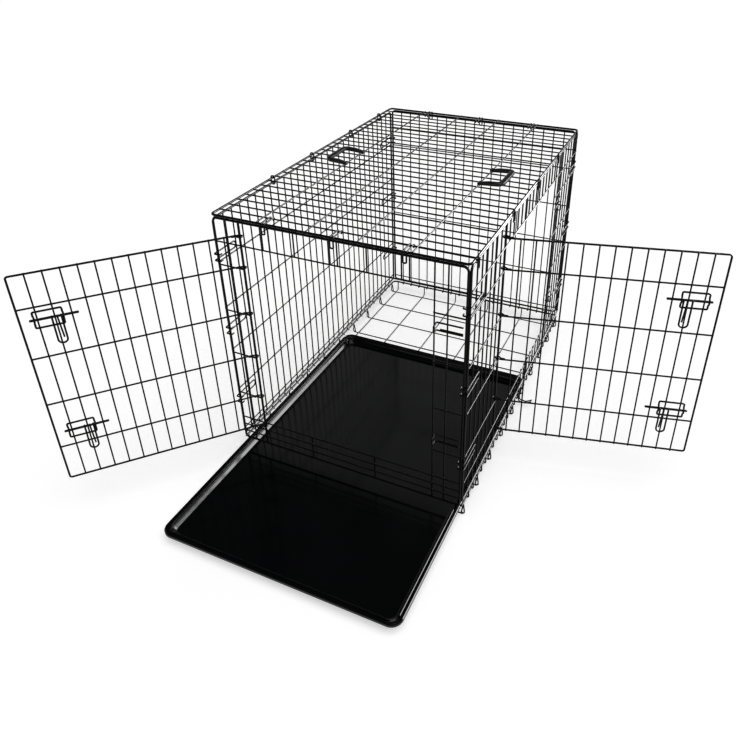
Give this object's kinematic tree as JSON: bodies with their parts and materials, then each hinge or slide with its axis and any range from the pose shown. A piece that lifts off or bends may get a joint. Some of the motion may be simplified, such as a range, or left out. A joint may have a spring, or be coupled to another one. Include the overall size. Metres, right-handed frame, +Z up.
{
  "type": "folding pet crate",
  "caption": "Folding wire pet crate with a front door and a side door on slide bolts, a lift-up top with swinging carry handles, a drop-in back and a slide-out tray.",
  "frame": {"origin": "middle of the flat under the floor basket's fifth cross wire from the front, on the ground, halfway between the two sides", "axes": "+X towards the side with the side door, -Y out through the front door, +Z up"},
  "size_m": [1.2572, 1.2289, 0.6643],
  "materials": {
    "black_wire": "satin black powder coat on steel wire",
    "tray_plastic": "glossy black moulded plastic",
    "handle_plastic": "smooth black moulded plastic"
  },
  "bodies": {
    "crate": {"floor_basket": "black_wire", "left_side_panel": "black_wire", "right_side_frame": "black_wire", "right_front_grille": "black_wire", "right_rear_grille": "black_wire", "right_header": "black_wire", "right_sill": "black_wire", "front_frame": "black_wire", "front_left_grille": "black_wire", "front_right_grille": "black_wire", "front_header": "black_wire", "front_sill": "black_wire", "front_upper_keeper": "black_wire", "front_lower_keeper": "black_wire", "side_upper_keeper": "black_wire", "side_lower_keeper": "black_wire"},
    "tray": {"tray": "tray_plastic"},
    "back_panel": {"back_panel": "black_wire"},
    "top_panel": {"top_panel": "black_wire", "top_front_hook_1": "black_wire", "top_front_hook_2": "black_wire", "top_front_hook_3": "black_wire", "top_back_hook_1": "black_wire", "top_back_hook_2": "black_wire", "top_back_hook_3": "black_wire", "top_right_hook_1": "black_wire", "top_right_hook_2": "black_wire", "top_right_hook_3": "black_wire", "top_right_hook_4": "black_wire", "top_right_hook_5": "black_wire", "top_hinge_loop_1": "black_wire", "top_hinge_loop_2": "black_wire", "top_hinge_loop_3": "black_wire", "top_hinge_loop_4": "black_wire"},
    "left_carry_handle": {"left_carry_handle": "handle_plastic"},
    "right_carry_handle": {"right_carry_handle": "handle_plastic"},
    "fold_hook": {"fold_hook": "black_wire"},
    "front_door": {"front_door": "black_wire", "front_upper_guide": "black_wire", "front_lower_guide": "black_wire"},
    "front_upper_bolt": {"front_upper_bolt": "black_wire"},
    "front_upper_bolt_handle": {"front_upper_bolt_handle": "black_wire"},
    "front_lower_bolt": {"front_lower_bolt": "black_wire"},
    "front_lower_bolt_handle": {"front_lower_bolt_handle": "black_wire"},
    "side_door": {"side_door": "black_wire", "side_upper_guide": "black_wire", "side_lower_guide": "black_wire"},
    "side_upper_bolt": {"side_upper_bolt": "black_wire"},
    "side_upper_bolt_handle": {"side_upper_bolt_handle": "black_wire"},
    "side_lower_bolt": {"side_lower_bolt": "black_wire"},
    "side_lower_bolt_handle": {"side_lower_bolt_handle": "black_wire"}
  },
  "joints": [
    {"name": "front_door_hinge", "type": "hinge", "parent": "crate", "child": "front_door", "pos_m": [-0.2233, -0.39856, 0.35], "axis": [0, 0, -1], "range_deg": [-131.9, 18.1]},
    {"name": "front_upper_bolt_slide", "type": "slide", "parent": "front_door", "child": "front_upper_bolt", "axis": [-0.6678, -0.7443, 0], "range_m": [0, 0.028]},
    {"name": "front_upper_bolt_turn", "type": "hinge", "parent": "front_upper_bolt", "child": "front_upper_bolt_handle", "pos_m": [-0.48145, -0.66605, 0.505], "axis": [0.6678, 0.7443, 0], "range_deg": [0, 90]},
    {"name": "front_lower_bolt_slide", "type": "slide", "parent": "front_door", "child": "front_lower_bolt", "axis": [-0.6678, -0.7443, 0], "range_m": [0, 0.028]},
    {"name": "front_lower_bolt_turn", "type": "hinge", "parent": "front_lower_bolt", "child": "front_lower_bolt_handle", "pos_m": [-0.48145, -0.66605, 0.221], "axis": [0.6678, 0.7443, 0], "range_deg": [0, 90]},
    {"name": "side_door_hinge", "type": "hinge", "parent": "crate", "child": "side_door", "pos_m": [0.292, -0.17861, 0.35], "axis": [0, 0, -1], "range_deg": [-76.7, 73.3]},
    {"name": "side_upper_bolt_slide", "type": "slide", "parent": "side_door", "child": "side_upper_bolt", "axis": [0.9732, 0.23, 0], "range_m": [0, 0.028]},
    {"name": "side_upper_bolt_turn", "type": "hinge", "parent": "side_upper_bolt", "child": "side_upper_bolt_handle", "pos_m": [0.65664, -0.10628, 0.505], "axis": [-0.9732, -0.23, 0], "range_deg": [0, 90]},
    {"name": "side_lower_bolt_slide", "type": "slide", "parent": "side_door", "child": "side_lower_bolt", "axis": [0.9732, 0.23, 0], "range_m": [0, 0.028]},
    {"name": "side_lower_bolt_turn", "type": "hinge", "parent": "side_lower_bolt", "child": "side_lower_bolt_handle", "pos_m": [0.65664, -0.10628, 0.221], "axis": [-0.9732, -0.23, 0], "range_deg": [0, 90]},
    {"name": "tray_slide", "type": "slide", "parent": "crate", "child": "tray", "axis": [0, -1, 0], "range_m": [-0.327, 0.4]},
    {"name": "top_panel_hinge", "type": "hinge", "parent": "crate", "child": "top_panel", "pos_m": [-0.292, 0, 0.64], "axis": [0, -1, 0], "range_deg": [0, 110]},
    {"name": "left_carry_handle_turn", "type": "hinge", "parent": "top_panel", "child": "left_carry_handle", "pos_m": [-0.1752, 0.0325, 0.6543], "axis": [0, 1, 0], "range_deg": [0, 165]},
    {"name": "right_carry_handle_turn", "type": "hinge", "parent": "top_panel", "child": "right_carry_handle", "pos_m": [0.1752, 0.0325, 0.6543], "axis": [0, -1, 0], "range_deg": [0, 165]},
    {"name": "back_panel_hinge", "type": "hinge", "parent": "crate", "child": "back_panel", "pos_m": [0, 0.49444, 0.036], "axis": [1, 0, 0], "range_deg": [0, 90]},
    {"name": "fold_hook_turn", "type": "hinge", "parent": "crate", "child": "fold_hook", "pos_m": [0.292, 0.0479, 0.048], "axis": [0, -1, 0], "range_deg": [0, 90]}
  ]
}
